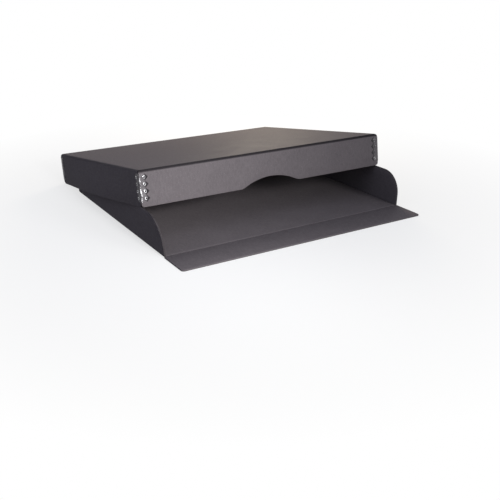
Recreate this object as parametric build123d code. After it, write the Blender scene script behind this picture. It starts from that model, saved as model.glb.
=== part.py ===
from build123d import *
from math import asin, atan2, degrees
import os

# The board and the open tray that is folded from it
board = 1.5
inside_width = 289.0
inside_depth = 226.5
tray_height = 38.0
fold_radius = 2.2
side_wall_corner_radius = 24.0
cut_corner_radius = 3.0

# The lid, which telescopes over the tray when the box is shut
lid_clearance = 1.2
lid_height = 36.0
notch_width = 76.0
notch_depth = 9.0
notch_shoulder_radius = 14.0

# How the open box is set out: the lid is drawn back, its rear lower edge on the
# surface and its front skirt propped on the tray's side walls
lid_set_back = 43.0
prop_gap = 0.3
crease_gap = 0.2

# The sheet-metal stays that close the upright corners
stay_thickness = 0.4
stay_leg = 9.5
stay_foot = 5.0
stay_head = 3.5
tooth_pitch = 6.9
tooth_depth = 3.6
stay_bend_radius = 0.3

# Sizes that follow from the ones above
inner_fold_radius = fold_radius - board
tray_width = inside_width + 2 * board
tray_depth = inside_depth + board
tray_front = -tray_depth / 2
tray_rear = tray_depth / 2
flap_length = tray_height - board
crease_y = tray_front - crease_gap
lid_overhang = lid_clearance + board
lid_width = tray_width + 2 * lid_overhang
lid_depth = tray_depth + crease_gap + board + 2 * lid_overhang
skirt_height = lid_height - fold_radius
lid_pivot_y = tray_rear + lid_set_back
lid_tilt = degrees(asin((tray_height + prop_gap) / (lid_depth - board)))
lid_place = Pos(0, lid_pivot_y, 0) * Rot(-lid_tilt, 0, 0)

# Which way each upright corner lies from the middle, along X and along Y
corners = {
    "front_left": (-1, -1),
    "front_right": (1, -1),
    "rear_right": (1, 1),
    "rear_left": (-1, 1),
}


def round_based_block(width, depth, height, radius, round_front):
    """Block standing on z = 0, with its lower edges rounded as a fold rounds them."""
    across = Plane.XZ * Pos(0, height / 2) * Rectangle(width, height)
    across = fillet(across.vertices().sort_by(Axis.Z)[:2], radius)
    along = Plane.YZ * Pos(0, height / 2) * Rectangle(depth, height)
    lower = along.vertices().sort_by(Axis.Z)[:2].sort_by(Axis.Y)
    along = fillet(lower if round_front else lower[-1:], radius)
    return extrude(across, depth / 2, both=True) & extrude(along, width / 2, both=True)


def folded_panel(width, depth, front_fold):
    """Panel on z = 0 with its rounded folds, cut off where the walls become upright."""
    outer = round_based_block(width, depth, tray_height, fold_radius, front_fold)
    inner_depth = depth - 2 * board if front_fold else depth
    inner_shift = 0 if front_fold else -board
    inner = round_based_block(
        width - 2 * board, inner_depth, tray_height, inner_fold_radius, front_fold
    )
    shell = outer - Pos(0, inner_shift, board) * inner
    return shell & Pos(0, 0, fold_radius / 2) * Box(width, depth, fold_radius)


def tray_floor():
    return folded_panel(tray_width, tray_depth, front_fold=False)


def tray_side_wall(side):
    """Side wall with its large rounded upper front corner; side is -1 left, 1 right."""
    length = tray_depth - board
    height = tray_height - fold_radius
    outline = Plane.YZ * Pos(-board / 2, fold_radius + height / 2) * Rectangle(length, height)
    upper = outline.vertices().sort_by(Axis.Z)[-2:].sort_by(Axis.Y)
    outline = fillet(upper[:1], side_wall_corner_radius)
    upper = outline.vertices().sort_by(Axis.Y)[-2:].sort_by(Axis.Z)
    outline = fillet(upper[-1:], cut_corner_radius)
    wall = extrude(outline, board / 2, both=True)
    return Pos(side * (tray_width - board) / 2, 0, 0) * wall


def tray_rear_wall():
    height = tray_height - fold_radius
    outline = Plane.XZ * Pos(0, fold_radius + height / 2) * Rectangle(tray_width, height)
    outline = fillet(outline.vertices().sort_by(Axis.Z)[-2:], cut_corner_radius)
    wall = extrude(outline, board / 2, both=True)
    return Pos(0, tray_rear - board / 2, 0) * wall


def drop_front_flap():
    """Front wall of the tray, let down flat on the surface in front of it."""
    outline = Pos(0, crease_y - flap_length / 2) * Rectangle(tray_width, flap_length)
    outline = fillet(outline.vertices().sort_by(Axis.Y)[:2], cut_corner_radius)
    return extrude(outline, board)


def lid_top_panel():
    panel = folded_panel(lid_width, lid_depth, front_fold=True)
    return Pos(0, -lid_depth / 2, lid_height) * Rot(180, 0, 0) * panel


def skirt_outline(plane, length):
    """Skirt standing on its cut edge, with the two free corners rounded."""
    outline = plane * Pos(0, skirt_height / 2) * Rectangle(length, skirt_height)
    return fillet(outline.vertices().sort_by(Axis.Z)[:2], cut_corner_radius)


def thumb_notch(outline):
    """Shallow arch cut in the lower edge, running out into it with round shoulders."""
    half_width = notch_width / 2
    radii = (half_width**2 + notch_depth**2) / (2 * notch_depth)
    arch_radius = radii - notch_shoulder_radius
    outline -= Plane.XZ * Pos(0, notch_depth - arch_radius) * Circle(arch_radius)
    ends = outline.vertices().sort_by(Axis.Z)[:4].sort_by(Axis.X)[1:3]
    return fillet(ends, notch_shoulder_radius)


def lid_end_skirt(at_front):
    """Skirt across the lid's full width; the front one has the thumb notch."""
    outline = skirt_outline(Plane.XZ, lid_width)
    if at_front:
        outline = thumb_notch(outline)
    skirt = extrude(outline, board / 2, both=True)
    return Pos(0, board / 2 - lid_depth if at_front else -board / 2, 0) * skirt


def lid_side_skirt(side):
    """Skirt between the two end skirts; side is -1 left, 1 right."""
    skirt = extrude(skirt_outline(Plane.YZ, lid_depth - 2 * board), board / 2, both=True)
    return Pos(side * (lid_width - board) / 2, -lid_depth / 2, 0) * skirt


def stay_leg_outline(height):
    """Points of one leg from the corner out to its toothed free edge."""
    teeth = max(2, round(height / tooth_pitch))
    pitch = height / teeth
    points = [(-stay_thickness, 0), (stay_leg - tooth_depth, 0)]
    for tooth in range(teeth):
        points.append((stay_leg, (tooth + 0.5) * pitch))
        points.append((stay_leg - tooth_depth, (tooth + 1) * pitch))
    points.append((-stay_thickness, height))
    return points


def corner_stay(height):
    """Stay folded round an upright corner at the origin, its legs along +X and +Y."""
    outline = make_face(Polyline(stay_leg_outline(height), close=True))
    leg_x = extrude(Plane.XZ * outline, stay_thickness)
    leg_y = extrude(Plane.YZ * outline, -stay_thickness)
    stay = leg_x + leg_y
    bend = stay.edges().filter_by(Axis.Z).sort_by(Axis.X)[:2].sort_by(Axis.Y)[0]
    return fillet(bend, stay_bend_radius)


def stay_at(corner, width, depth, middle_y, height):
    """Stay on the outside of one corner of a box, clear of its folds and cut edges."""
    toward_x, toward_y = corners[corner]
    turn = degrees(atan2(toward_y, toward_x) - atan2(-1, -1))
    place = Pos(toward_x * width / 2, middle_y + toward_y * depth / 2, stay_foot)
    return place * Rot(0, 0, turn) * corner_stay(height - stay_foot - stay_head)


def all_nodes():
    """Every piece of the box by name, set out as it stands open."""
    nodes = {
        "tray_floor": tray_floor(),
        "tray_left_wall": tray_side_wall(-1),
        "tray_right_wall": tray_side_wall(1),
        "tray_rear_wall": tray_rear_wall(),
        "drop_front_flap": drop_front_flap(),
        "lid_top_panel": lid_place * lid_top_panel(),
        "lid_front_skirt": lid_place * lid_end_skirt(True),
        "lid_rear_skirt": lid_place * lid_end_skirt(False),
        "lid_left_skirt": lid_place * lid_side_skirt(-1),
        "lid_right_skirt": lid_place * lid_side_skirt(1),
    }
    for corner in ("rear_left", "rear_right"):
        nodes["tray_" + corner + "_stay"] = stay_at(
            corner, tray_width, tray_depth, 0, tray_height
        )
    for corner in corners:
        nodes["lid_" + corner + "_stay"] = lid_place * stay_at(
            corner, lid_width, lid_depth, -lid_depth / 2, lid_height
        )
    return nodes


os.makedirs("parts", exist_ok=True)
for name, solid in all_nodes().items():
    export_step(solid, "parts/" + name + ".step")
print("lid tilt", round(lid_tilt, 3), "pivot y", round(lid_pivot_y, 3), "crease y", crease_y)
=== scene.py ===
# Drop-front storage box: dark grey solid board, folded, with toothed metal corner stays
from math import atan2, cos, hypot, pi, radians, sin, sqrt

import bpy
from bpy.props import FloatProperty, FloatVectorProperty, IntProperty, PointerProperty
from mathutils import Matrix, Vector


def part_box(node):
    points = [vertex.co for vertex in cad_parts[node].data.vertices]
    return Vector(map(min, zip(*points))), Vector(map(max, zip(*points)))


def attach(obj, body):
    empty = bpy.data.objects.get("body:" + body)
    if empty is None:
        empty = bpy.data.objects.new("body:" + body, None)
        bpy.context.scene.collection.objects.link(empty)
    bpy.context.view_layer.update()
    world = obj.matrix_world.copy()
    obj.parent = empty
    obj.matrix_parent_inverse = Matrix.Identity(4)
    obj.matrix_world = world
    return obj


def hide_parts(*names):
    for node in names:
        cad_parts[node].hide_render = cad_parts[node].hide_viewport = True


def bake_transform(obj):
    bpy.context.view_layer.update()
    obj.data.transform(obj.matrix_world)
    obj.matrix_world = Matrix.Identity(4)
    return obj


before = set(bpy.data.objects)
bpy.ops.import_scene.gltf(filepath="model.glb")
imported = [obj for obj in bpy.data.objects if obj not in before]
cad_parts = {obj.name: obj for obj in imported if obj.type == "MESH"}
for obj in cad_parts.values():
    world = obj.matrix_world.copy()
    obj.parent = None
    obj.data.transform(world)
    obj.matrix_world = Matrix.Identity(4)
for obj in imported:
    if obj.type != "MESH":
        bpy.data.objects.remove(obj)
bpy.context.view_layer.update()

bl_info = {
    "name": "Drop-front Storage Box",
    "version": (1, 0, 0),
    "blender": (4, 5, 0),
    "location": "View3D > Sidebar > Storage Box",
    "description": "Builds an open drop-front storage box from its measured frame",
    "category": "Add Mesh",
}

MM = 0.001
TINY = 1e-6
X, Y, Z = range(3)


# Sizes read from the frame
def vertices_in(node, place):
    """Vertices of a node of the frame, seen in the axes of a placing matrix."""
    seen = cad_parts[node]
    into = place.inverted() @ seen.matrix_world
    return [into @ vertex.co for vertex in seen.data.vertices]


def box_in(node, place):
    """Lowest and highest corner of a node, measured along the axes of a placing matrix."""
    points = vertices_in(node, place)
    low = Vector([min(point[axis] for point in points) for axis in range(3)])
    high = Vector([max(point[axis] for point in points) for axis in range(3)])
    return low, high


def measured_lid():
    """Where the drawn-back lid stands: a matrix at its rear lower edge, and its depth."""
    pivot = min(vertices_in("lid_rear_skirt", UPRIGHT), key=lambda point: point.z)
    prop = min(vertices_in("lid_front_skirt", UPRIGHT), key=lambda point: point.z)
    reach, rise = pivot.y - prop.y, prop.z - pivot.z
    lean = -atan2(rise, reach)
    place = Matrix.Translation((0, pivot.y, pivot.z)) @ Matrix.Rotation(lean, 4, "X")
    # The front skirt's lowest point is on its inner face, one board behind the lid's front
    return place, hypot(reach, rise) + BOARD


def thickness_of(node):
    low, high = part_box(node)
    return high.z - low.z


UPRIGHT = Matrix.Identity(4)
BOARD = thickness_of("drop_front_flap")
TRAY_LOW, TRAY_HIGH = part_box("tray_floor")
TRAY_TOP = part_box("tray_rear_wall")[1].z
TRAY_SIZE = Vector((TRAY_HIGH.x - TRAY_LOW.x, TRAY_HIGH.y - TRAY_LOW.y, TRAY_TOP))
# The floor's node ends where its walls become upright, so its height is the folds' radius
FOLD = thickness_of("tray_floor")
LID_PLACE, LID_DEPTH = measured_lid()
LID_LOW, LID_HIGH = box_in("lid_top_panel", LID_PLACE)
LID_SIZE = Vector((LID_HIGH.x - LID_LOW.x, LID_DEPTH, LID_HIGH.z))
FLAP_LOW, FLAP_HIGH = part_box("drop_front_flap")

# How far past each fold the scored board is creased, and how faint a side fold's crease and its
# painted shade are
CREASED = 0.7 * MM
SIDE_FOLD = 0.25


# Values that a user would change
class BoardSizes(bpy.types.PropertyGroup):
    corner_gap: FloatProperty(
        name="Corner gap", description="Gap between two skirts at an upright corner",
        default=0.12 * MM, min=0, unit="LENGTH",
    )
    groove_depth: FloatProperty(
        name="Groove depth", description="How deep the score is pressed along each fold",
        default=0.35 * MM, min=0, unit="LENGTH",
    )
    cut_corner: FloatProperty(
        name="Cut corner", description="Radius of the small rounded corners of the sheets",
        default=3 * MM, min=0, unit="LENGTH",
    )
    front_corner: FloatProperty(
        name="Front corner", description="Radius of the side walls' upper front corner",
        default=24 * MM, min=0, unit="LENGTH",
    )
    edge_round: FloatProperty(
        name="Edge round", description="Rounding of the cut edges of the board",
        default=0.18 * MM, min=0, unit="LENGTH",
    )
    notch_width: FloatProperty(
        name="Notch width", description="Width of the thumb notch at the lid's lower edge",
        default=76 * MM, min=0, unit="LENGTH",
    )
    notch_depth: FloatProperty(
        name="Notch depth", description="Height of the thumb notch",
        default=9 * MM, min=0, unit="LENGTH",
    )
    notch_shoulder: FloatProperty(
        name="Notch shoulder", description="Radius where the notch runs out into the edge",
        default=14 * MM, min=0, unit="LENGTH",
    )
    left_flare: FloatProperty(
        name="Left flare", description="How far the left wall's free front end leans outward",
        default=4.5 * MM, min=0, unit="LENGTH",
    )
    right_flare: FloatProperty(
        name="Right flare", description="How far the right wall's free front end leans outward",
        default=0.6 * MM, min=0, unit="LENGTH",
    )
    skirt_bow: FloatProperty(
        name="Skirt bow", description="How far the lid's left skirt bows outward at its middle",
        default=5 * MM, min=0, unit="LENGTH",
    )
    panel_step: FloatProperty(
        name="Panel step", description="Spacing of the rows of faces across a panel",
        default=12 * MM, min=2 * MM, unit="LENGTH",
    )


class StaySizes(bpy.types.PropertyGroup):
    teeth: IntProperty(
        name="Teeth", description="Number of teeth along each leg of a stay", default=4, min=2,
    )
    tooth_depth: FloatProperty(
        name="Tooth depth", description="Length of a tooth from its root to its tip",
        default=3.6 * MM, min=0, unit="LENGTH",
    )
    tooth_bite: FloatProperty(
        name="Tooth bite", description="How far the tip of a tooth is pressed into the board",
        default=0.35 * MM, min=0, unit="LENGTH",
    )
    dimple_place: FloatProperty(
        name="Dimple place", description="Distance of each punched ring from the corner",
        default=5 * MM, min=0, unit="LENGTH",
    )
    dimple_radius: FloatProperty(
        name="Dimple radius", description="Radius of the ring punched into each tooth",
        default=2.1 * MM, min=0, unit="LENGTH",
    )
    dimple_height: FloatProperty(
        name="Dimple height", description="How far the ring stands proud of the leg",
        default=0.35 * MM, min=0, unit="LENGTH",
    )
    bend_radius: FloatProperty(
        name="Bend radius", description="Radius of the stay's bend round the corner",
        default=0.7 * MM, min=0, unit="LENGTH",
    )
    edge_round: FloatProperty(
        name="Edge round", description="Rounding of the stay's sheared edges",
        default=0.06 * MM, min=0, unit="LENGTH",
    )


def colour_property(label, text, default):
    return FloatVectorProperty(
        name=label, description=text, default=default, subtype="COLOR", size=3, min=0, max=1,
    )


class Finishes(bpy.types.PropertyGroup):
    board_colour: colour_property(
        "Board colour", "Colour of the solid board", (0.133, 0.118, 0.124)
    )
    board_fleck: colour_property(
        "Board fleck", "Colour of the lighter fibres in the board", (0.24, 0.22, 0.228)
    )
    board_roughness: FloatProperty(
        name="Board roughness", description="Roughness of the board's face",
        default=0.6, min=0, max=1, subtype="FACTOR",
    )
    cut_edge_roughness: FloatProperty(
        name="Cut edge roughness", description="Roughness of the board's cut edges",
        default=0.8, min=0, max=1, subtype="FACTOR",
    )
    cut_edge_shade: FloatProperty(
        name="Cut edge shade", description="Share of the board's colour that its cut edges keep",
        default=0.42, min=0, max=1, subtype="FACTOR",
    )
    board_sheen: FloatProperty(
        name="Board sheen", description="How strongly the matte board mirrors what is around it",
        default=0.008, min=0, max=1, subtype="FACTOR",
    )
    # Painted shade: the dark colour laid along the scored folds, standing in for the shade in their
    # grooves
    fold_shade_colour: colour_property(
        "Fold colour", "Colour of the board along its scored folds", (0.018, 0.016, 0.018)
    )
    steel_colour: colour_property(
        "Steel colour", "Colour of the stays' dark coating", (0.11, 0.1, 0.106)
    )
    # Painted highlight in part: bright worn metal laid on the crests and beside the bend, standing
    # in for glints
    steel_wear_and_glint: colour_property(
        "Bright steel", "Colour of the metal where the coating is worn", (0.78, 0.78, 0.8)
    )
    # Painted shade: the dark colour laid in the stays' hollows, on their rings' slopes and along the
    # bend
    stay_shade_colour: colour_property(
        "Soil colour", "Colour of the dirt in the stays' hollows", (0.012, 0.011, 0.013)
    )
    coating_sheen: FloatProperty(
        name="Coating sheen", description="How strongly the stays' dark coating mirrors",
        default=0.2, min=0, max=1, subtype="FACTOR",
    )


class StageSettings(bpy.types.PropertyGroup):
    azimuth: FloatProperty(
        name="Azimuth", description="Direction from which the camera looks, 0 along +Y",
        default=radians(-32.55), subtype="ANGLE", unit="ROTATION",
    )
    elevation: FloatProperty(
        name="Elevation", description="Camera's angle above the horizon",
        default=radians(22.74), subtype="ANGLE", unit="ROTATION",
    )
    roll: FloatProperty(
        name="Roll", description="Camera's turn about its own axis",
        default=radians(0.73), subtype="ANGLE", unit="ROTATION",
    )
    box_in_view: FloatVectorProperty(
        name="Box in view", description="The tray's middle seen from the camera: right, up, ahead",
        default=(-0.0177, 0.059, 0.8339), size=3, unit="LENGTH",
    )
    focal_share: FloatProperty(
        name="Focal share", description="Focal length as a share of the sensor's width",
        default=1.438, min=0.1,
    )
    front_power: FloatProperty(
        name="Front power", description="Power of the lamp before the box",
        default=4.2, min=0, unit="POWER",
    )
    left_power: FloatProperty(
        name="Left power", description="Power of the narrow lamp on the left front",
        default=0.22, min=0, unit="POWER",
    )
    rear_power: FloatProperty(
        name="Rear power", description="Power of the lamp behind the box",
        default=1.8, min=0, unit="POWER",
    )
    side_power: FloatProperty(
        name="Side power", description="Power of the dim lamp on the left side",
        default=1.1, min=0, unit="POWER",
    )
    room_light: FloatProperty(
        name="Room light", description="Strength of the light from all round",
        default=0.34, min=0,
    )
    room_tint: colour_property(
        "Room tint", "Colour of the light from all round", (0.78, 0.83, 1.0)
    )
    rear_tint: colour_property(
        "Rear tint", "Colour of the lamp behind the box", (1.0, 0.87, 0.68)
    )
    floor_colour: colour_property("Floor colour", "Colour of the floor", (0.9, 0.9, 0.9))
    floor_bounce: colour_property(
        "Floor bounce", "Colour in which the floor lights the box from below", (0.014, 0.014, 0.018)
    )


# Modelling steps that the pieces share
SELECT_MODES = ("vertices", "edges", "polygons")


def select_where(piece, kind, test):
    """Select only the vertices, edges or faces whose centre passes a test, in edit mode."""
    if piece.mode == "EDIT":
        bpy.ops.object.mode_set(mode="OBJECT")
    mesh = piece.data
    for items in (mesh.vertices, mesh.edges, mesh.polygons):
        items.foreach_set("select", [False] * len(items))
    for item in getattr(mesh, kind):
        corners = [item.index] if kind == "vertices" else item.vertices
        centre = sum((mesh.vertices[i].co for i in corners), Vector()) / len(corners)
        item.select = test(centre)
    bpy.context.tool_settings.mesh_select_mode = [kind == mode for mode in SELECT_MODES]
    bpy.ops.object.mode_set(mode="EDIT")


def cut_rows(piece, axis, places, test=lambda centre: True):
    """Cut a row of edges square to one axis at each place, through the faces in a test."""
    for place in places:
        select_where(piece, "polygons", test)
        point = [0, 0, 0]
        point[axis] = place
        square = [0, 0, 0]
        square[axis] = 1
        bpy.ops.mesh.bisect(plane_co=point, plane_no=square)


def spaced(low, high, step):
    """Evenly spaced places between two ends, without the ends."""
    count = max(1, round((high - low) / step))
    return [low + (high - low) * i / count for i in range(1, count)]


def new_cube(name, low, high):
    """Cube primitive between two corners, with everything else deselected."""
    bpy.ops.object.select_all(action="DESELECT")
    low, high = Vector(low), Vector(high)
    bpy.ops.mesh.primitive_cube_add(size=1, location=(low + high) / 2, scale=high - low)
    bpy.ops.object.transform_apply(location=True, rotation=True, scale=True)
    piece = bpy.context.object
    piece.name = piece.data.name = name
    return piece


def apply_modifier(piece, kind, **settings):
    modifier = piece.modifiers.new(kind.title(), kind)
    for name, value in settings.items():
        setattr(modifier, name, value)
    bpy.ops.object.modifier_apply(modifier=modifier.name)


def place_mesh(piece, matrix):
    """Turn and move a piece, with the result in its mesh."""
    piece.matrix_world = matrix
    bpy.ops.object.transform_apply(location=True, rotation=True, scale=True)


def new_layer(piece, name, kind, value_at):
    """Attribute on a piece's vertices, worked out vertex by vertex."""
    layer = piece.data.attributes.new(name, kind, "POINT")
    for vertex in piece.data.vertices:
        if kind == "FLOAT_VECTOR":
            layer.data[vertex.index].vector = value_at(vertex)
        else:
            layer.data[vertex.index].value = value_at(vertex)


def fold_share(point, size, front_wall):
    """1 in the middle of an end fold, less on a side fold, fading to 0 on the flat board; it sets
    the score's depth and the fold's painted shade.
    """
    to_side = size.x / 2 - abs(point.x)
    to_end = size.y / 2 - (abs(point.y) if front_wall else point.y)
    off_edge = max(min(to_side, to_end), point.z)
    middle = FOLD * (1 - sqrt(0.5))
    share = min(max((FOLD + CREASED - off_edge) / (FOLD + CREASED - middle), 0), 1)
    return share * (SIDE_FOLD if to_side < to_end else 1)


def flat_place(vertex):
    """Where a point of a folded box lay on the flat sheet before folding."""
    point, normal = vertex.co, vertex.normal
    if abs(normal.z) > max(abs(normal.x), abs(normal.y)):
        return Vector((point.x, point.y, 0))
    if abs(normal.x) > abs(normal.y):
        return Vector((point.x + (point.z if point.x > 0 else -point.z), point.y, 0))
    return Vector((point.x, point.y + (point.z if point.y > 0 else -point.z), 0))


def open_corners(piece, size, front_wall):
    """Cut the upright corners open above the folds, and shorten the side walls to fit between."""
    corner_gap = bpy.context.scene.storage_box_board.corner_gap
    half_width, half_depth = size.x / 2, size.y / 2
    slit_start = FOLD + CREASED
    cut_rows(piece, Z, [slit_start])
    select_where(
        piece, "edges",
        lambda centre: abs(centre.x) > half_width - TINY
        and abs(centre.y) > half_depth - TINY and centre.z > FOLD,
    )
    bpy.ops.mesh.edge_split(type="EDGE")
    select_where(
        piece, "polygons",
        lambda centre: abs(centre.x) > half_width - TINY and centre.z > slit_start,
    )
    end_walls = 2 if front_wall else 1
    kept_share = 1 - end_walls * (BOARD + corner_gap) / size.y
    middle = 0 if front_wall else -half_depth
    bpy.ops.transform.resize(value=(1, kept_share, 1), center_override=(0, middle, 0))


def round_corners(piece, size, front_wall):
    """Round the free corners of the walls, with the large radius at an open front."""
    sizes = bpy.context.scene.storage_box_board
    half_depth = size.y / 2
    select_where(
        piece, "vertices",
        lambda point: point.z > size.z - TINY and (front_wall or point.y > 0),
    )
    bpy.ops.mesh.bevel(offset=sizes.cut_corner, segments=5, affect="VERTICES")
    if not front_wall:
        select_where(
            piece, "vertices",
            lambda point: point.z > size.z - TINY and point.y < TINY - half_depth,
        )
        bpy.ops.mesh.bevel(offset=sizes.front_corner, segments=14, affect="VERTICES")


def folded_shell(name, size, front_wall):
    """Outer skin of a folded box standing on its floor, with its corners cut open."""
    half_width, half_depth = size.x / 2, size.y / 2
    piece = new_cube(name, (-half_width, -half_depth, 0), (half_width, half_depth, size.z))
    select_where(piece, "polygons", lambda centre: centre.z > size.z - TINY)
    bpy.ops.mesh.delete(type="FACE")
    if not front_wall:
        select_where(piece, "polygons", lambda centre: centre.y < TINY - half_depth)
        bpy.ops.mesh.delete(type="FACE")
    select_where(
        piece, "edges",
        lambda centre: centre.z < TINY and (front_wall or centre.y > TINY - half_depth),
    )
    bpy.ops.mesh.bevel(offset=FOLD, offset_type="OFFSET", segments=6, profile=0.5, affect="EDGES")
    open_corners(piece, size, front_wall)
    round_corners(piece, size, front_wall)
    return piece


def cut_panel_rows(piece, size):
    """Rows across the floor and walls: one beside each fold, and evenly spaced ones."""
    step = bpy.context.scene.storage_box_board.panel_step
    for axis in (X, Y):
        beside = size[axis] / 2 - FOLD - CREASED
        cut_rows(piece, axis, [-beside, *spaced(-beside, beside, step), beside])


def score_folds(piece, size, front_wall):
    """Press the score line into each fold, and note the folds, which carry the painted shade, and
    the flat sheet's places.
    """
    depth = bpy.context.scene.storage_box_board.groove_depth
    bpy.ops.object.mode_set(mode="OBJECT")
    new_layer(piece, "flat_place", "FLOAT_VECTOR", flat_place)
    new_layer(piece, "fold", "FLOAT", lambda vertex: fold_share(vertex.co, size, front_wall))
    vertices = piece.data.vertices
    shares = [item.value for item in piece.data.attributes["fold"].data]
    inward = [-vertex.normal * depth * share**2 for vertex, share in zip(vertices, shares)]
    for vertex, move in zip(vertices, inward):
        vertex.co += move


def soften_edges(piece, width, segments=2, smooth_below=radians(35), clamp=True):
    """Round the sharp edges of a piece, and shade its shallow ones smooth."""
    apply_modifier(
        piece, "BEVEL", width=width, segments=segments, limit_method="ANGLE",
        angle_limit=radians(50), use_clamp_overlap=clamp,
    )
    bpy.ops.object.shade_smooth_by_angle(angle=smooth_below)


def thicken(piece):
    """Give a folded skin the board's thickness, with its second material on the cut edges."""
    apply_modifier(
        piece, "SOLIDIFY", thickness=BOARD, offset=-1, use_even_offset=True,
        use_quality_normals=True, material_offset_rim=1,
    )
    soften_edges(piece, bpy.context.scene.storage_box_board.edge_round, clamp=False)


def lean_share(along, point, size):
    """How far a wall leans outward at a point, as a share of the most, which is at its top."""
    up = max(point.z - FOLD, 0) / (size.z - FOLD)
    return along**1.5 * up**1.2


# How fine each pattern of the finishes is, in cells per metre
PER_METRE = {
    "mottle": 34, "grain": 520, "fibre": 1500, "tooth": 1500,
    "scuff": 1600, "handled patch": 130, "rubbed patch": 420,
}

# Where the strip rubbed bright, partly a painted highlight, and the bend's painted shade fade out,
# measured from a stay's corner
RUBBED_GLINT_FROM = 1.2 * MM
RUBBED_GLINT_TO = 2.5 * MM
BEND_FROM = 0.3 * MM
BEND_TO = 0.8 * MM

# The span over which the stays' wear and painted highlights lessen, from left to right and from
# front to rear
HANDLED_GLINT_SPAN = 150 * MM
HANDLED_GLINT_FRONT = -50 * MM

# How far from the tray's middle the floor's shadows fade out into white
SHADOW_FROM = 150 * MM
SHADOW_TO = 450 * MM


# Materials
def add_node(tree, kind, inputs=None, **settings):
    """Add a shader node, set its options, and link or fill its inputs."""
    node = tree.nodes.new(kind)
    for name, value in settings.items():
        setattr(node, name, value)
    for name, value in (inputs or {}).items():
        if isinstance(value, bpy.types.NodeSocket):
            tree.links.new(value, node.inputs[name])
        else:
            node.inputs[name].default_value = value
    return node


def mix_colours(tree, share, first, second):
    """Mix two colours; the node's sockets share their names, so they go by number."""
    node = add_node(
        tree, "ShaderNodeMix", {0: share, 6: first, 7: second}, data_type="RGBA"
    )
    return node.outputs[2]


def maths(tree, operation, first, second=0.0, clamp=False):
    node = add_node(
        tree, "ShaderNodeMath", {0: first, 1: second}, operation=operation, use_clamp=clamp
    )
    return node.outputs[0]


def noise(tree, vector, scale, detail=2.0, roughness=0.5):
    node = add_node(
        tree, "ShaderNodeTexNoise",
        {"Vector": vector, "Scale": scale, "Detail": detail, "Roughness": roughness},
    )
    return node.outputs[0]


def stretch(tree, vector, scale):
    node = add_node(tree, "ShaderNodeMapping", {"Vector": vector, "Scale": scale})
    return node.outputs[0]


def between(tree, value, low, high, to_low=0.0, to_high=1.0):
    """Spread a value from one range over another, held at the ends."""
    node = add_node(
        tree, "ShaderNodeMapRange", {"Value": value, 1: low, 2: high, 3: to_low, 4: to_high}
    )
    return node.outputs[0]


def with_alpha(colour):
    return (*colour, 1)


def new_group(name, inputs, outputs):
    """Node group with named inputs and outputs; returns it with its two end nodes."""
    group = bpy.data.node_groups.new(name, "ShaderNodeTree")
    for label, kind, value in inputs:
        socket = group.interface.new_socket(label, in_out="INPUT", socket_type=kind)
        if value is not None:
            socket.default_value = value
    for label, kind in outputs:
        group.interface.new_socket(label, in_out="OUTPUT", socket_type=kind)
    return group, group.nodes.new("NodeGroupInput"), group.nodes.new("NodeGroupOutput")


def board_fibres_group():
    """Fine fibres, grain along the sheet and soft mottling of solid board."""
    if "Board fibres" in bpy.data.node_groups:
        return bpy.data.node_groups["Board fibres"]
    group, start, end = new_group(
        "Board fibres",
        [
            ("Vector", "NodeSocketVector", None),
            ("Colour", "NodeSocketColor", (0.1, 0.1, 0.1, 1)),
            ("Fleck", "NodeSocketColor", (0.2, 0.2, 0.2, 1)),
            ("Strength", "NodeSocketFloat", 1.0),
            ("Roughness", "NodeSocketFloat", 0.5),
        ],
        [
            ("Colour", "NodeSocketColor"),
            ("Roughness", "NodeSocketFloat"),
            ("Height", "NodeSocketFloat"),
        ],
    )
    vector = start.outputs["Vector"]
    mottle = noise(group, vector, PER_METRE["mottle"], 3)
    grain = noise(group, stretch(group, vector, (1, 0.35, 1)), PER_METRE["grain"], 3, 0.6)
    fibre = noise(group, stretch(group, vector, (1, 0.5, 1)), PER_METRE["fibre"], 2, 0.55)
    tooth = noise(group, vector, PER_METRE["tooth"], 2)
    lightness = maths(
        group, "ADD",
        between(group, mottle, 0.3, 0.7, -0.05, 0.05),
        between(group, grain, 0.3, 0.7, -0.085, 0.085),
    )
    lightness = maths(group, "MULTIPLY", lightness, start.outputs["Strength"])
    lightness = maths(group, "ADD", lightness, 1.0)
    shaded = add_node(
        group, "ShaderNodeVectorMath",
        {0: start.outputs["Colour"], "Scale": lightness}, operation="SCALE",
    ).outputs[0]
    flecks = maths(
        group, "MULTIPLY",
        between(group, fibre, 0.58, 0.75, 0, 0.5), start.outputs["Strength"], clamp=True,
    )
    colour = mix_colours(group, flecks, shaded, start.outputs["Fleck"])
    rough = maths(
        group, "ADD",
        start.outputs["Roughness"], between(group, mottle, 0.3, 0.7, -0.04, 0.04),
    )
    height = maths(
        group, "ADD",
        maths(group, "MULTIPLY", grain, 0.55), maths(group, "MULTIPLY", tooth, 0.45),
    )
    group.links.new(colour, end.inputs["Colour"])
    group.links.new(rough, end.inputs["Roughness"])
    group.links.new(height, end.inputs["Height"])
    return group


def new_material(name):
    material = bpy.data.materials.new(name)
    material.use_nodes = True
    tree = material.node_tree
    return material, tree, tree.nodes["Principled BSDF"]


def attribute(tree, name, output="Fac"):
    return add_node(tree, "ShaderNodeAttribute", attribute_name=name).outputs[output]


def object_place(tree):
    return add_node(tree, "ShaderNodeTexCoord").outputs["Object"]


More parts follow.
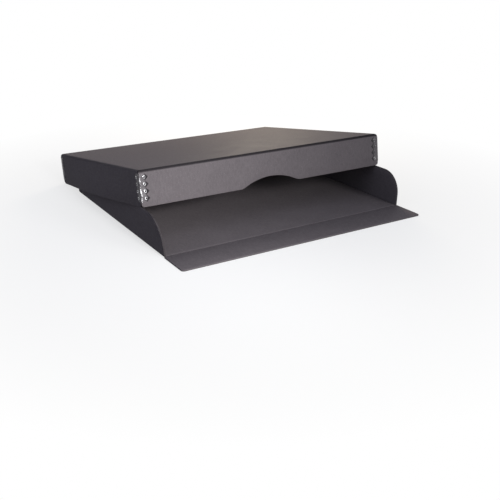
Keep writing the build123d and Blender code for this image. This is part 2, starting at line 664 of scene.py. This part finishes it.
def board_material(name, folded=False, cut_edge=False):
    """Dyed solid board; on a folded sheet its grain follows the flat sheet, with painted shade
    darkening the folds.
    """
    finish = bpy.context.scene.storage_box_finish
    material, tree, surface = new_material(name)
    fibres = tree.nodes.new("ShaderNodeGroup")
    fibres.node_tree = board_fibres_group()
    vector = attribute(tree, "flat_place", "Vector") if folded else object_place(tree)
    tree.links.new(vector, fibres.inputs["Vector"])
    shade = finish.cut_edge_shade if cut_edge else 1
    fibres.inputs["Colour"].default_value = with_alpha(Vector(finish.board_colour) * shade)
    fibres.inputs["Fleck"].default_value = with_alpha(Vector(finish.board_fleck) * shade)
    fibres.inputs["Strength"].default_value = 1.3 if cut_edge else 1
    roughness = finish.cut_edge_roughness if cut_edge else finish.board_roughness
    fibres.inputs["Roughness"].default_value = roughness
    colour = fibres.outputs["Colour"]
    if folded:
        # Painted shade: the folds darken toward the fold shade colour, standing in for the shade in
        # their grooves
        dark = between(tree, attribute(tree, "fold"), 0, 0.5, 0, 0.9)
        colour = mix_colours(tree, dark, colour, with_alpha(finish.fold_shade_colour))
    tree.links.new(colour, surface.inputs["Base Color"])
    tree.links.new(fibres.outputs["Roughness"], surface.inputs["Roughness"])
    surface.inputs["Specular IOR Level"].default_value = finish.board_sheen
    bump = add_node(
        tree, "ShaderNodeBump",
        {"Height": fibres.outputs["Height"], "Strength": 0.35, "Distance": 0.12 * MM},
    )
    tree.links.new(bump.outputs[0], surface.inputs["Normal"])
    return material


def handled_glint_share(tree, vector):
    """Broad patches where hands have touched the stays, and a painted highlight that grows weaker to
    the right and the rear.
    """
    place = add_node(tree, "ShaderNodeSeparateXYZ", {0: vector}).outputs
    patches = noise(tree, vector, PER_METRE["handled patch"], 2)
    return maths(
        tree, "ADD",
        between(tree, patches, 0.3, 0.7, -0.35, 0.25),
        maths(
            tree, "ADD",
            between(tree, place["X"], -HANDLED_GLINT_SPAN, HANDLED_GLINT_SPAN, 0.05, -0.35),
            between(tree, place["Y"], HANDLED_GLINT_FRONT, HANDLED_GLINT_SPAN, 0, -0.25),
        ),
    )


def rubbed_glint_share(tree, vector, off_corner):
    """Broken strip beside the bend, where the coating is rubbed off, bright partly as a painted
    highlight for the bend's glint.
    """
    patches = noise(tree, vector, PER_METRE["rubbed patch"], 1)
    return maths(
        tree, "MULTIPLY",
        between(tree, off_corner, RUBBED_GLINT_FROM, RUBBED_GLINT_TO, 0.85, 0),
        between(tree, patches, 0.42, 0.56, 0.25, 1),
    )


def painted_stay_shade(tree, relief, off_corner):
    """Painted shade on the rings' slopes, in the hollows and along the bend."""
    slope = maths(
        tree, "MULTIPLY",
        between(tree, relief, 0.02, 0.15), between(tree, relief, 0.3, 0.6, 1, 0),
    )
    hollow = maths(
        tree, "MAXIMUM",
        between(tree, relief, -0.4, -0.1, 1, 0),
        between(tree, off_corner, BEND_FROM, BEND_TO, 1, 0),
    )
    return maths(tree, "MULTIPLY", maths(tree, "MAXIMUM", slope, hollow), 0.9)


def steel_material(name):
    """Dark coated steel, worn bright on its raised parts and beside its bend, partly as painted
    highlights for glints, with painted shade in its hollows and along the bend.
    """
    finish = bpy.context.scene.storage_box_finish
    material, tree, surface = new_material(name)
    vector = object_place(tree)
    relief, off_corner = attribute(tree, "relief"), attribute(tree, "off_corner")
    scuffs = noise(tree, vector, PER_METRE["scuff"], 4, 0.65)
    # Wear and painted highlight: the bright steel stands in partly for glints on the crests, beside
    # the bend and on the front left stays
    raised = between(tree, relief, -1, 1, -1, 0.9)
    wear_and_glint = maths(tree, "ADD", raised, between(tree, scuffs, 0.35, 0.65, -0.55, 0.5))
    wear_and_glint = maths(tree, "ADD", wear_and_glint, rubbed_glint_share(tree, vector, off_corner))
    wear_and_glint = maths(tree, "ADD", wear_and_glint, handled_glint_share(tree, vector))
    wear_and_glint = between(tree, wear_and_glint, 0.4, 0.85)
    colour = mix_colours(
        tree, wear_and_glint, with_alpha(finish.steel_colour), with_alpha(finish.steel_wear_and_glint)
    )
    # Painted shade in the hollows, on the rings' slopes and along the bend
    stay_shade = painted_stay_shade(tree, relief, off_corner)
    colour = mix_colours(tree, stay_shade, colour, with_alpha(finish.stay_shade_colour))
    tree.links.new(colour, surface.inputs["Base Color"])
    tree.links.new(between(tree, wear_and_glint, 0, 1, 0.05, 0.85), surface.inputs["Metallic"])
    surface.inputs["Specular IOR Level"].default_value = finish.coating_sheen
    rough = maths(
        tree, "ADD", between(tree, scuffs, 0.3, 0.7, 0, 0.18), between(tree, wear_and_glint, 0, 1, 0.45, 0.2)
    )
    tree.links.new(rough, surface.inputs["Roughness"])
    bump = add_node(
        tree, "ShaderNodeBump", {"Height": scuffs, "Strength": 0.25, "Distance": 0.1 * MM}
    )
    tree.links.new(bump.outputs[0], surface.inputs["Normal"])
    return material


def seen_directly(tree):
    """1 for rays that show the backdrop, straight or in a sheen, and 0 for those that light."""
    path = add_node(tree, "ShaderNodeLightPath").outputs
    seen = maths(tree, "MAXIMUM", path["Is Camera Ray"], path["Is Transmission Ray"])
    return maths(tree, "MAXIMUM", seen, path["Is Glossy Ray"])


def floor_material():
    """Pale floor that takes the box's shadow and runs out into the white backdrop."""
    stage = bpy.context.scene.storage_box_stage
    material, tree, surface = new_material("pale_floor")
    surface.inputs["Roughness"].default_value = 0.9
    seen = seen_directly(tree)
    colour = mix_colours(
        tree, seen, with_alpha(stage.floor_bounce), with_alpha(stage.floor_colour)
    )
    tree.links.new(colour, surface.inputs["Base Color"])
    away = add_node(
        tree, "ShaderNodeVectorMath", {0: object_place(tree)}, operation="LENGTH"
    ).outputs["Value"]
    whitened = between(tree, away, SHADOW_FROM, SHADOW_TO, 0.65, 1)
    white = add_node(tree, "ShaderNodeEmission", {"Color": (1, 1, 1, 1), "Strength": 1.0})
    mixed = add_node(
        tree, "ShaderNodeMixShader",
        {0: maths(tree, "MULTIPLY", seen, whitened), 1: surface.outputs[0], 2: white.outputs[0]},
    )
    tree.links.new(mixed.outputs[0], tree.nodes["Material Output"].inputs["Surface"])
    return material


# The lid
NOTCH_STEP = 2 * MM
NOTCH_MARGIN = 3 * MM


def notch_height(x):
    """Height of the lid's lower edge above its corners, at a distance x from the middle."""
    sizes = bpy.context.scene.storage_box_board
    half, depth, shoulder = sizes.notch_width / 2, sizes.notch_depth, sizes.notch_shoulder
    # The shallow arch and the round shoulder that runs out of it meet where their radii line up
    both_radii = (half**2 + depth**2) / (2 * depth)
    arch = both_radii - shoulder
    x = abs(x)
    if x >= half:
        return 0
    if x > half * arch / both_radii:
        return shoulder - sqrt(shoulder**2 - (half - x) ** 2)
    return depth - arch + sqrt(arch**2 - x**2)


def cut_notch(piece, size):
    """Cut fine rows in the front skirt's lower band and lift its edge into the notch."""
    sizes = bpy.context.scene.storage_box_board
    half = sizes.notch_width / 2
    front = TINY - size.y / 2
    band = size.z - sizes.notch_depth - NOTCH_MARGIN
    places = spaced(-half - NOTCH_STEP, half + NOTCH_STEP, NOTCH_STEP)
    cut_rows(piece, Z, [band], lambda centre: centre.y < front)
    cut_rows(piece, X, places, lambda centre: centre.y < front and centre.z > band - TINY)
    bpy.ops.object.mode_set(mode="OBJECT")
    for vertex in piece.data.vertices:
        if vertex.co.z > size.z - TINY and vertex.co.y < front:
            vertex.co.z -= notch_height(vertex.co.x)


def bow_skirt(piece, size):
    """Bow the left skirt's lower edge outward, where the flared tray wall presses on it.

    The lid is built upside down, so its left is at +X here.
    """
    bow = bpy.context.scene.storage_box_board.skirt_bow
    for vertex in piece.data.vertices:
        point = vertex.co
        if point.x > size.x / 2 - TINY:
            along = sin(pi * min(max(point.y / size.y + 0.5, 0), 1))
            point.x += bow * lean_share(along, point, size)


class LidSheet(bpy.types.Operator):
    """Fold the lid from one sheet, with its thumb notch, and prop it on the tray"""

    bl_idname = "storage_box.lid_sheet"
    bl_label = "Lid Sheet"

    def execute(self, context):
        size = LID_SIZE
        piece = folded_shell("lid_sheet", size, front_wall=True)
        cut_notch(piece, size)
        cut_panel_rows(piece, size)
        cut_rows(piece, Z, [size.z / 2])
        score_folds(piece, size, front_wall=True)
        bow_skirt(piece, size)
        piece.data.materials.append(board_material("lid_board", folded=True))
        piece.data.materials.append(board_material("lid_board_edge", folded=True, cut_edge=True))
        thicken(piece)
        upside_down = Matrix.Translation((0, -size.y / 2, size.z)) @ Matrix.Rotation(pi, 4, "Y")
        place_mesh(piece, LID_PLACE @ upside_down)
        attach(piece, "lid")
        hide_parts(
            "lid_top_panel", "lid_front_skirt", "lid_rear_skirt",
            "lid_left_skirt", "lid_right_skirt",
        )
        return {"FINISHED"}


# The tray
WALL_STEP = 9 * MM


def flare_walls(piece, size):
    """Lean the free front ends of the side walls outward, as unsupported board does."""
    sizes = bpy.context.scene.storage_box_board
    bpy.ops.object.mode_set(mode="OBJECT")
    for vertex in piece.data.vertices:
        point = vertex.co
        if abs(point.x) > size.x / 2 - TINY:
            toward_front = min(max(-point.y / (size.y / 2), 0), 1)
            flare = sizes.right_flare if point.x > 0 else -sizes.left_flare
            point.x += flare * lean_share(toward_front, point, size)


class TraySheet(bpy.types.Operator):
    """Fold the tray's floor and three walls, with the round front corners"""

    bl_idname = "storage_box.tray_sheet"
    bl_label = "Tray Sheet"

    def execute(self, context):
        size = TRAY_SIZE
        piece = folded_shell("tray_sheet", size, front_wall=False)
        cut_panel_rows(piece, size)
        cut_rows(piece, Z, spaced(FOLD, size.z, WALL_STEP))
        score_folds(piece, size, front_wall=False)
        flare_walls(piece, size)
        piece.data.materials.append(board_material("tray_board", folded=True))
        piece.data.materials.append(board_material("tray_board_edge", folded=True, cut_edge=True))
        thicken(piece)
        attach(piece, "tray")
        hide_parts("tray_floor", "tray_left_wall", "tray_right_wall", "tray_rear_wall")
        return {"FINISHED"}


# The creased board between floor and drop front: how many rows bend, how far they reach past the
# gap, how far the strip runs on into the sheets, and how far it lies inside their two faces
CREASE_ROWS = 8
CREASE_REACH = 0.05 * MM
CREASE_TUCK = 0.6 * MM
CREASE_ABOVE = 0.1 * MM
CREASE_BELOW = 0.2 * MM


def drop_front_panel():
    """Flat panel of the drop front, with its two free corners rounded."""
    sizes = bpy.context.scene.storage_box_board
    piece = new_cube("drop_front_panel", FLAP_LOW, FLAP_HIGH)
    middle = (FLAP_LOW + FLAP_HIGH) / 2
    select_where(
        piece, "edges",
        lambda centre: abs(centre.x) > FLAP_HIGH.x - TINY
        and centre.y < middle.y and abs(centre.z - middle.z) < TINY,
    )
    bpy.ops.mesh.bevel(offset=sizes.cut_corner, segments=5, affect="EDGES")
    bpy.ops.object.mode_set(mode="OBJECT")
    soften_edges(piece, sizes.edge_round)
    piece.data.materials.append(board_material("drop_front_board"))
    return piece


def crease_strip(front, rear):
    """Strip of creased board across the gap, tucked into the sheets on both sides."""
    half_width = TRAY_SIZE.x / 2 - FOLD
    piece = new_cube(
        "front_crease", (-half_width, front, CREASE_ABOVE), (half_width, rear, BOARD - CREASE_BELOW)
    )
    cut_rows(piece, Y, spaced(front, rear, (rear - front) / CREASE_ROWS))
    for end, tuck in ((front, -CREASE_TUCK), (rear, CREASE_TUCK)):
        select_where(piece, "polygons", lambda centre: abs(centre.y - end) < TINY)
        bpy.ops.mesh.extrude_region_move(TRANSFORM_OT_translate={"value": (0, tuck, 0)})
    bpy.ops.object.mode_set(mode="OBJECT")
    bpy.ops.object.shade_smooth_by_angle(angle=radians(35))
    # Painted shade in part: the crease takes the darker cut-edge board, both for the scored board's
    # darker colour and for the shade in the recessed gap
    piece.data.materials.append(board_material("crease_board", cut_edge=True))
    return piece


class DropFront(bpy.types.Operator):
    """Lay the drop front flat before the tray, and join it on with the creased board"""

    bl_idname = "storage_box.drop_front"
    bl_label = "Drop Front"

    def execute(self, context):
        panel = drop_front_panel()
        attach(panel, "drop_front")
        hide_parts("drop_front_flap")

        front, rear = FLAP_HIGH.y - CREASE_REACH, TRAY_LOW.y + CREASE_REACH
        crease = crease_strip(front, rear)
        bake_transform(crease)
        return {"FINISHED"}


# The stays
MERGED = 0.01 * MM

# Each slope and the crest of a punched ring as shares of its radius, how far its hole is pressed
# down as a share of its height, and the rounding of a tooth's tip as a share of the tooth
RING_SLOPE = 0.2
RING_CREST = 0.1
HOLE_DROP = 1.8
TIP_ROUND = 1 / 6


def punch_ring(cell, centre):
    """Punch a ring round a cell's middle: a disc, set in to a slope up, a crest and a slope down."""
    sizes = bpy.context.scene.storage_box_stays
    select_where(cell, "vertices", lambda point: (point - centre).length < TINY)
    bpy.ops.mesh.bevel(
        offset=sizes.dimple_radius, segments=4, profile=0.25, affect="VERTICES",
        clamp_overlap=False,
    )
    inside = 0.9 * sizes.dimple_radius
    select_where(cell, "polygons", lambda point: (point - centre).length < inside)
    bpy.ops.mesh.dissolve_faces()
    bpy.ops.transform.tosphere(value=1)
    slope, crest = RING_SLOPE * sizes.dimple_radius, RING_CREST * sizes.dimple_radius
    bpy.ops.mesh.inset(thickness=slope, depth=sizes.dimple_height)
    bpy.ops.mesh.inset(thickness=crest, depth=0)
    bpy.ops.mesh.inset(thickness=slope, depth=-HOLE_DROP * sizes.dimple_height)
    bpy.ops.mesh.delete(type="FACE")


def punched_cell(name, leg, pitch):
    """One tooth of a leg, flat in the XZ plane: pointed, with a ring punched through it."""
    sizes = bpy.context.scene.storage_box_stays
    centre = Vector((sizes.dimple_place, 0, pitch / 2))
    width = 2 * (leg - sizes.dimple_place)
    bpy.ops.object.select_all(action="DESELECT")
    bpy.ops.mesh.primitive_plane_add(size=1, location=centre, rotation=(pi / 2, 0, 0))
    cell = bpy.context.object
    cell.name = cell.data.name = name
    cell.scale = (width, pitch, 1)
    bpy.ops.object.transform_apply(location=True, rotation=True, scale=True)
    bpy.ops.object.mode_set(mode="EDIT")
    bpy.ops.mesh.subdivide(number_cuts=1)

    select_where(
        cell, "vertices",
        lambda point: point.x > leg - TINY and abs(point.z - centre.z) > pitch / 4,
    )
    bpy.ops.transform.translate(value=(-sizes.tooth_depth, sizes.tooth_bite / 2, 0))
    select_where(cell, "vertices", lambda point: point.x > leg - TINY)
    bpy.ops.transform.translate(value=(0, sizes.tooth_bite, 0))
    bpy.ops.mesh.bevel(offset=TIP_ROUND * sizes.tooth_depth, segments=2, affect="VERTICES")

    punch_ring(cell, centre)
    bpy.ops.object.mode_set(mode="OBJECT")
    return cell


def stay_relief(point, thickness):
    """Height above a stay's flat legs as a share of the punched rings' height."""
    sizes = bpy.context.scene.storage_box_stays
    if max(point.x, point.y) < sizes.bend_radius:
        return 0
    outward = -min(point.x, point.y) - thickness
    return min(max(outward / sizes.dimple_height, -1), 1)


def corner_distance(point, thickness):
    """Distance from the corner along the leg that is rubbed bright and given the bend's painted
    highlight and shade, and far off on the other leg.
    """
    return point.x + thickness if point.x > point.y else 1


def toothed_leg(name, thickness, leg, height):
    """Leg of a stay along +X, a flat face that runs from the corner out to its teeth."""
    sizes = bpy.context.scene.storage_box_stays
    pitch = height / sizes.teeth
    piece = punched_cell(name, leg, pitch)
    # The ring is in the middle of its cell, so the cell starts a little way from the corner
    near = 2 * sizes.dimple_place - leg
    apply_modifier(
        piece, "ARRAY", count=sizes.teeth, use_relative_offset=False, use_constant_offset=True,
        constant_offset_displace=(0, 0, pitch), use_merge_vertices=True, merge_threshold=MERGED,
    )
    bpy.ops.object.mode_set(mode="EDIT")
    bpy.ops.mesh.select_all(action="SELECT")
    bpy.ops.transform.translate(value=(0, -thickness, 0))
    select_where(piece, "edges", lambda centre: centre.x < near + TINY)
    bpy.ops.mesh.extrude_region_move(
        TRANSFORM_OT_translate={"value": (-thickness - near, 0, 0)}
    )
    bpy.ops.object.mode_set(mode="OBJECT")
    return piece


def corner_stay(name, thickness, leg, height):
    """Stay folded round an upright corner at the origin, its legs along +X and +Y."""
    sizes = bpy.context.scene.storage_box_stays
    stay = toothed_leg(name, thickness, leg, height)
    bpy.ops.object.duplicate()
    other = bpy.context.object
    place_mesh(other, Matrix.Translation((0, 0, height)) @ Matrix.Rotation(pi, 4, (1, 1, 0)))
    stay.select_set(True)
    bpy.context.view_layer.objects.active = stay
    bpy.ops.object.join()
    bpy.ops.object.mode_set(mode="EDIT")
    bpy.ops.mesh.select_all(action="SELECT")
    bpy.ops.mesh.remove_doubles(threshold=MERGED)
    select_where(
        stay, "edges", lambda centre: centre.x < TINY - thickness and centre.y < TINY - thickness
    )
    bpy.ops.mesh.bevel(offset=sizes.bend_radius, segments=4, affect="EDGES", clamp_overlap=False)
    bpy.ops.object.mode_set(mode="OBJECT")
    new_layer(stay, "relief", "FLOAT", lambda vertex: stay_relief(vertex.co, thickness))
    new_layer(stay, "off_corner", "FLOAT", lambda vertex: corner_distance(vertex.co, thickness))
    apply_modifier(stay, "SOLIDIFY", thickness=thickness, offset=-1, use_even_offset=False)
    soften_edges(stay, sizes.edge_round, segments=1, smooth_below=radians(40))
    return stay


def stay_place(node, place, thickness):
    """Matrix that takes a stay from the origin to the corner where its node stands."""
    low, high = box_in(node, place)
    right, rear = "right" in node, "rear" in node
    corner = Vector((
        high.x - thickness if right else low.x + thickness,
        high.y - thickness if rear else low.y + thickness,
        low.z,
    ))
    turn = atan2(1 if rear else -1, 1 if right else -1) - atan2(-1, -1)
    return place @ Matrix.Translation(corner) @ Matrix.Rotation(turn, 4, "Z")


class CornerStays(bpy.types.Operator):
    """Press the six toothed metal stays over the upright corners"""

    bl_idname = "storage_box.corner_stays"
    bl_label = "Corner Stays"

    def execute(self, context):
        steel = steel_material("stay_steel")
        for body, place, outer in (("tray", UPRIGHT, TRAY_HIGH.x), ("lid", LID_PLACE, LID_HIGH.x)):
            nodes = [
                name for name in sorted(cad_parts)
                if name.startswith(body) and name.endswith("_stay")
            ]
            low, high = box_in(nodes[0], place)
            thickness = max(abs(low.x), abs(high.x)) - outer
            leg, height = high.x - low.x - thickness, high.z - low.z
            pattern = corner_stay(body + "_stay_pattern", thickness, leg, height)
            for node in nodes:
                bpy.ops.object.select_all(action="DESELECT")
                pattern.select_set(True)
                context.view_layer.objects.active = pattern
                bpy.ops.object.duplicate()
                stay = context.object
                stay.name = stay.data.name = "metal_" + node
                place_mesh(stay, stay_place(node, place, thickness))
                stay.data.materials.append(steel)
                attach(stay, body)
                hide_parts(node)
            bpy.data.objects.remove(pattern)
        return {"FINISHED"}


# The stage
SENSOR_WIDTH = 36
FLOOR_WIDTH = 12
FLOOR_DROP = 0.05 * MM
BOX_AIM = (0, 0, 0.03)
STAY_AIM = (-0.13, -0.08, 0.05)


def camera_matrix(settings):
    """Camera that sees the tray's middle at the given place, with the given turn."""
    a, e, roll = settings.azimuth, settings.elevation, settings.roll
    back = Vector((sin(a) * cos(e), -cos(a) * cos(e), sin(e)))
    level = Vector((cos(a), sin(a), 0))
    above = back.cross(level)
    right = cos(roll) * level + sin(roll) * above
    up = cos(roll) * above - sin(roll) * level
    seen = settings.box_in_view
    place = -(seen[0] * right + seen[1] * up - seen[2] * back)
    turn = Matrix((right, up, back)).transposed()
    return Matrix.LocRotScale(place, turn, None)


def area_lamp(name, power, place, aim, size, spread=pi, colour=(1, 1, 1)):
    data = bpy.data.lights.new(name, "AREA")
    data.spread = spread
    data.color = colour
    data.shape = "DISK"
    data.size = size
    data.energy = power
    lamp = bpy.data.objects.new(name, data)
    bpy.context.collection.objects.link(lamp)
    lamp.location = place
    lamp.rotation_euler = (Vector(aim) - Vector(place)).to_track_quat("-Z", "Y").to_euler()


def lay_floor():
    """Wide floor a hair below the box."""
    bpy.ops.object.select_all(action="DESELECT")
    bpy.ops.mesh.primitive_plane_add(size=FLOOR_WIDTH, location=(0, 0, -FLOOR_DROP))
    bpy.ops.object.transform_apply(location=True, rotation=True, scale=True)
    floor = bpy.context.object
    floor.name = "floor"
    floor.data.materials.append(floor_material())


def place_camera(scene, settings):
    data = bpy.data.cameras.new("photo_camera")
    data.sensor_width = SENSOR_WIDTH
    data.lens = SENSOR_WIDTH * settings.focal_share
    data.clip_start = 0.01
    data.clip_end = 50
    camera = bpy.data.objects.new("photo_camera", data)
    scene.collection.objects.link(camera)
    camera.matrix_world = camera_matrix(settings)
    scene.camera = camera


def place_lamps(settings):
    """Lamps before the box, on its left and low behind it, whose light glances off the lid."""
    area_lamp(
        "front_lamp", settings.front_power, place=(0.25, -0.95, 0.35), aim=BOX_AIM, size=0.4
    )
    area_lamp(
        "left_lamp", settings.left_power, place=(-0.12, -0.7, 0.3), aim=STAY_AIM,
        size=0.12, spread=radians(40),
    )
    area_lamp(
        "side_lamp", settings.side_power, place=(-1.15, -0.3, 0.5), aim=BOX_AIM,
        size=0.6, colour=settings.room_tint,
    )
    area_lamp(
        "rear_lamp", settings.rear_power, place=(0.3, 0.42, 0.22), aim=BOX_AIM,
        size=0.2, colour=settings.rear_tint,
    )


def light_room(scene, settings):
    """World that lights the box evenly from all round, and looks plain white itself."""
    world = bpy.data.worlds.new("white_room")
    scene.world = world
    world.use_nodes = True
    tree = world.node_tree
    seen = seen_directly(tree)
    strength = add_node(
        tree, "ShaderNodeMix", {0: seen, 2: settings.room_light, 3: 1.0}, data_type="FLOAT"
    )
    background = tree.nodes["Background"]
    colour = mix_colours(tree, seen, with_alpha(settings.room_tint), (1, 1, 1, 1))
    tree.links.new(colour, background.inputs["Color"])
    tree.links.new(strength.outputs[0], background.inputs["Strength"])


class Stage(bpy.types.Operator):
    """Set the pale floor, the lamps and the camera"""

    bl_idname = "storage_box.stage"
    bl_label = "Stage"

    def execute(self, context):
        scene = context.scene
        settings = scene.storage_box_stage
        lay_floor()
        place_camera(scene, settings)
        place_lamps(settings)
        light_room(scene, settings)
        scene.view_settings.view_transform = "Standard"
        return {"FINISHED"}


class StorageBoxPanel(bpy.types.Panel):
    """Settings and building steps of the storage box"""

    bl_idname = "VIEW3D_PT_storage_box"
    bl_label = "Storage Box"
    bl_space_type = "VIEW_3D"
    bl_region_type = "UI"
    bl_category = "Storage Box"

    def draw(self, context):
        for name, group in SETTINGS.items():
            column = self.layout.column(heading=group.bl_rna.name)
            for item in group.__annotations__:
                column.prop(getattr(context.scene, name), item)
        for operator in OPERATORS:
            self.layout.operator(operator.bl_idname)


SETTINGS = {
    "storage_box_board": BoardSizes,
    "storage_box_stays": StaySizes,
    "storage_box_finish": Finishes,
    "storage_box_stage": StageSettings,
}
OPERATORS = (LidSheet, TraySheet, DropFront, CornerStays, Stage)


def register():
    for group in (*SETTINGS.values(), *OPERATORS, StorageBoxPanel):
        bpy.utils.register_class(group)
    for name, group in SETTINGS.items():
        setattr(bpy.types.Scene, name, PointerProperty(type=group))


def unregister():
    for name in SETTINGS:
        delattr(bpy.types.Scene, name)
    for group in reversed((*SETTINGS.values(), *OPERATORS, StorageBoxPanel)):
        bpy.utils.unregister_class(group)


def main():
    register()
    bpy.ops.storage_box.lid_sheet()
    bpy.ops.storage_box.tray_sheet()
    bpy.ops.storage_box.drop_front()
    bpy.ops.storage_box.corner_stays()
    bpy.ops.storage_box.stage()


if __name__ == "__main__":
    main()
